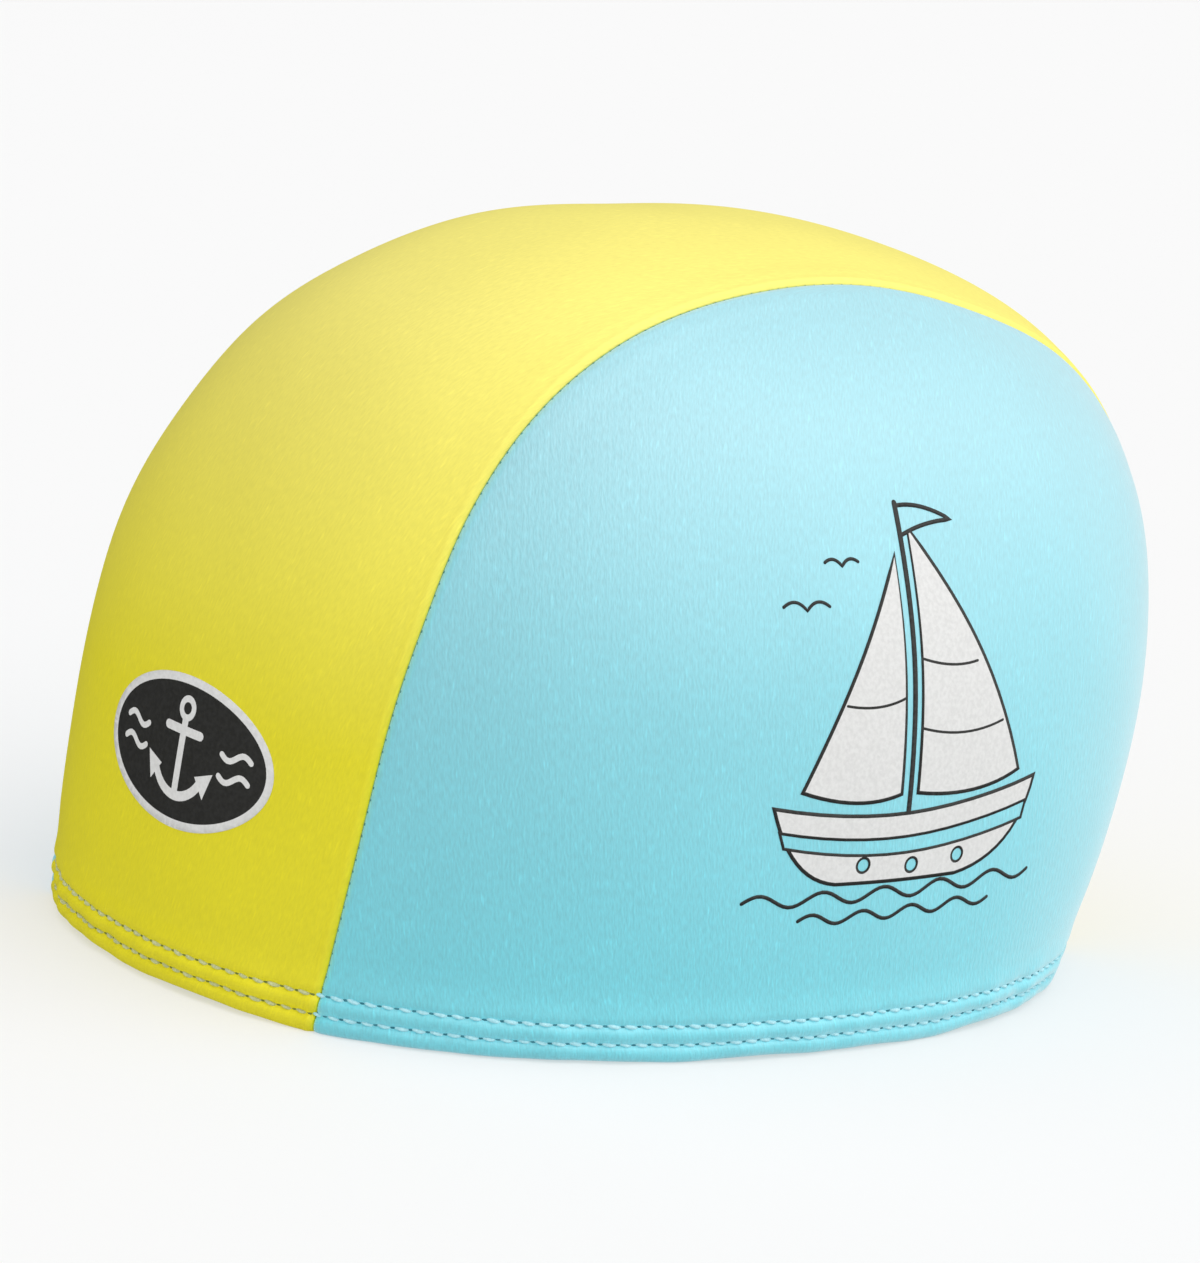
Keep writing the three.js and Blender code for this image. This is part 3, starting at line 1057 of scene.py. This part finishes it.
# A drawing cut into small triangles, each with the ink that was painted there last.
def filmMesh(name, loops, toForm, lift, spacing=1.3):
    flat, faces = [], []
    for loop, _ in loops:
        loop = fineLoop(movedLoop(loop, 0))
        faces.append(list(range(len(flat), len(flat) + len(loop))))
        flat += [Vector(p) for p in loop]
    places = np.array(flat)
    low, high = places.min(0), places.max(0)
    for x in np.arange(low[0], high[0], spacing):
        for y in np.arange(low[1], high[1], spacing):
            flat.append(Vector((x + 0.11, y + 0.07)))
    points, _, triangles, _, _, sources = delaunay_2d_cdt(flat, [], faces, 1, 1e-4, True)
    inks = [loops[max(source)][1] if source else None for source in sources]
    kept = [(list(triangle), ink) for triangle, ink in zip(triangles, inks) if ink]
    used = sorted({i for triangle, _ in kept for i in triangle})
    order = {old: new for new, old in enumerate(used)}
    on = toForm(np.array([points[i] for i in used]))
    mesh = bpy.data.meshes.new(name)
    mesh.from_pydata((outside(on, lift) / metre).tolist(), [], [[order[i] for i in t] for t, _ in kept])
    for i, (_, ink) in enumerate(kept):
        mesh.polygons[i].material_index = 1 if ink == "dark" else 0
        mesh.polygons[i].use_smooth = True
    return mesh


def onForehead(flat):
    x, z = flat[:, 0] + badge["centre"][0], flat[:, 1] + badge["centre"][1]
    return np.stack([x, lengthAt(x, z, -1.0), z], -1)


def overEar(flat):
    y, z = flat[:, 0] + boat["centre"][0], flat[:, 1] + boat["centre"][1]
    return np.stack([halfWidthAt(y, z), y, z], -1)


filmWall = 0.05
inks = {
    "pale": {
        "grain": 1400, "bump": 0.35, "roughness": 0.5,
        "dark": (0.64, 0.64, 0.63), "light": (0.71, 0.71, 0.7),
    },
    "dark": {
        "grain": 1400, "bump": 0.35, "roughness": 0.5,
        "dark": (0.022, 0.022, 0.02), "light": (0.03, 0.03, 0.028),
    },
}


def addPrints():
    films = [plainMaterial("paleInk", inks["pale"]), plainMaterial("darkInk", inks["dark"])]
    prints = [
        ("front_print", badgeDrawing(), onForehead, badge),
        ("side_print", boatDrawing(), overEar, boat),
    ]
    for name, loops, toForm, size in prints:
        mesh = filmMesh(name, loops, toForm, size["lift"])
        for film in films:
            mesh.materials.append(film)
        piece = newObject(name, mesh)
        wall = piece.modifiers.new("wall", "SOLIDIFY")
        wall.thickness = filmWall / metre
        wall.offset = -1
        wall.use_even_offset = False
        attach(bakeModifiers(piece), "root")


# Stage
stage = {
    "azimuth": 52.974,
    "elevation": 13.692,
    "roll": 6.623,
    "distance": 1.3,
    "aim": (-0.00787, 0.00287, 0.04948),
    "lens": 219.05,
    "floorColour": (0.38, 0.38, 0.38),
    "floorGlow": 0.5,  # keeps the shadows on the floor faint
    "skyAzimuth": 150,
    "skyElevation": 50,
    "skyStart": -0.4,  # where the brightening starts, from -1, opposite the sky's bright side
    "skyDark": 0.05,
    "skyBright": 0.7,
}


def backwardsFrom(azimuth, elevation):
    around, up = math.radians(azimuth), math.radians(elevation)
    return Vector((math.sin(around) * math.cos(up), -math.cos(around) * math.cos(up), math.sin(up)))


def addCamera():
    back = backwardsFrom(stage["azimuth"], stage["elevation"])
    around = math.radians(stage["azimuth"])
    right = Vector((math.cos(around), math.sin(around), 0))
    up = back.cross(right)
    roll = math.radians(stage["roll"])
    rolledRight = right * math.cos(roll) + up * math.sin(roll)
    rolledUp = up * math.cos(roll) - right * math.sin(roll)
    data = bpy.data.cameras.new("camera")
    data.lens = stage["lens"]
    data.clip_end = 50
    camera = newObject("camera", data)
    place = Matrix((rolledRight, rolledUp, back)).transposed().to_4x4()
    place.translation = Vector(stage["aim"]) + back * stage["distance"]
    camera.matrix_world = place
    bpy.context.scene.camera = camera


lights = [
    {"name": "keyAbove", "azimuth": 125, "elevation": 55, "softness": 60, "strength": 1.15},
    {"name": "rimRight", "azimuth": 160, "elevation": 15, "softness": 60, "strength": 0.45},
    {"name": "fillFront", "azimuth": 5, "elevation": 35, "softness": 120, "strength": 1.75},
    {"name": "fillRight", "azimuth": 70, "elevation": 0, "softness": 120, "strength": 0.2},
]


def addLights():
    for light in lights:
        data = bpy.data.lights.new(light["name"], "SUN")
        data.angle = math.radians(light["softness"])
        data.energy = light["strength"]
        lamp = newObject(light["name"], data)
        lamp.visible_glossy = not light["name"].startswith("fill")  # a fill leaves no shine of its own
        back = backwardsFrom(light["azimuth"], light["elevation"])
        lamp.location = back * 2
        lamp.rotation_euler = back.to_track_quat("Z", "Y").to_euler()
    world = bpy.data.worlds.new("studio")
    world.use_nodes = True
    tree = world.node_tree
    background = tree.nodes["Background"]
    background.inputs["Color"].default_value = (1, 1, 1, 1)
    direction = newNode(tree, "ShaderNodeTexCoord").outputs["Generated"]
    brightSide = backwardsFrom(stage["skyAzimuth"], stage["skyElevation"])
    facing = newNode(tree, "ShaderNodeVectorMath", {0: direction, 1: brightSide}, operation="DOT_PRODUCT")
    limits = {"Value": facing.outputs["Value"], "From Min": stage["skyStart"]}
    limits.update({"To Min": stage["skyDark"], "To Max": stage["skyBright"]})
    fade = newNode(tree, "ShaderNodeMapRange", limits, interpolation_type="SMOOTHSTEP")
    tree.links.new(fade.outputs["Result"], background.inputs["Strength"])
    bpy.context.scene.world = world


def addFloor():
    mesh = bpy.data.meshes.new("floor")
    size = 12
    corners = [(-size, -size, 0), (size, -size, 0), (size, size, 0), (-size, size, 0)]
    mesh.from_pydata(corners, [], [(0, 1, 2, 3)])
    floor = newObject("floor", mesh)
    shade = stage["floorColour"]
    finish = {"grain": 3, "dark": [0.995 * c for c in shade], "light": shade, "bump": 0, "roughness": 0.9}
    paper = plainMaterial("floorPaper", finish)
    shader = paper.node_tree.nodes["Principled BSDF"]
    shader.inputs["Emission Color"].default_value = (1, 1, 1, 1)
    shader.inputs["Emission Strength"].default_value = stage["floorGlow"]
    mesh.materials.append(paper)
    floor.visible_glossy = False  # the floor leaves no shine on the cap


addCamera()
addLights()
addFloor()
scene = bpy.context.scene
scene.view_settings.view_transform = "Standard"
scene.view_settings.look = "None"
print("camera, lights and floor placed")

yellowKnit = {
    "colour": (0.86, 0.77, 0.004),
    # The crown colour, and the heights over which the colour turns to it, paint a highlight on the upper
    # cap.
    "paintedCrownHighlight": (0.87, 0.77, 0.2),
    "paintedHighlightFrom": 45,
    "paintedHighlightTo": 112,
    "slubAcross": 3000,
    "slubAlong": 680,
    "slubShade": 0.05,
    "waleScale": 280,
    "bump": 0.35,
    "roughness": 0.6,
    "refraction": 2.2,
    "specular": 1.0,
    "specularTint": (1, 0.95, 0.22),
    "sheen": 0.05,
    "sheenRoughness": 0.4,
    "sheenTint": (1, 0.96, 0.3),
}
blueKnit = {
    "colour": (0.08, 0.67, 0.79),
    # The crown colour, and the heights over which the colour turns to it, paint a highlight on the upper
    # cap.
    "paintedCrownHighlight": (0.2, 0.58, 0.67),
    "paintedHighlightFrom": 15,
    "paintedHighlightTo": 100,
    "slubAcross": 3000,
    "slubAlong": 680,
    "slubShade": 0.085,
    "waleScale": 280,
    "bump": 0.4,
    "roughness": 0.6,
    "refraction": 2.0,
    "specular": 1.0,
    "specularTint": (1, 1, 1),
    "sheen": 0.7,
    "sheenRoughness": 0.5,
    "sheenTint": (1, 1, 1),
}


def dress(piece, material, nodeName=None):
    piece.data.materials.clear()
    piece.data.materials.append(material)
    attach(piece, "root")
    if nodeName:
        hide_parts(nodeName)


yellowMaterial = knitMaterial("yellowKnit", yellowKnit)
blueMaterial = knitMaterial("blueKnit", blueKnit)
dress(centrePanel(), yellowMaterial, "centre_panel")
print("centre panel made")
dress(sidePanel("left_cloth", False), blueMaterial, "side_panel_left")
dress(sidePanel("right_cloth", True), blueMaterial, "side_panel_right")
print("side panels made")
sewHem()
sewSeams()
print("stitches sewn")
addPrints()
print("prints laid on")

for piece in scene.objects:
    if piece.type == "MESH" and not piece.hide_render:
        print(piece.name, len(piece.data.vertices), len(piece.data.polygons))
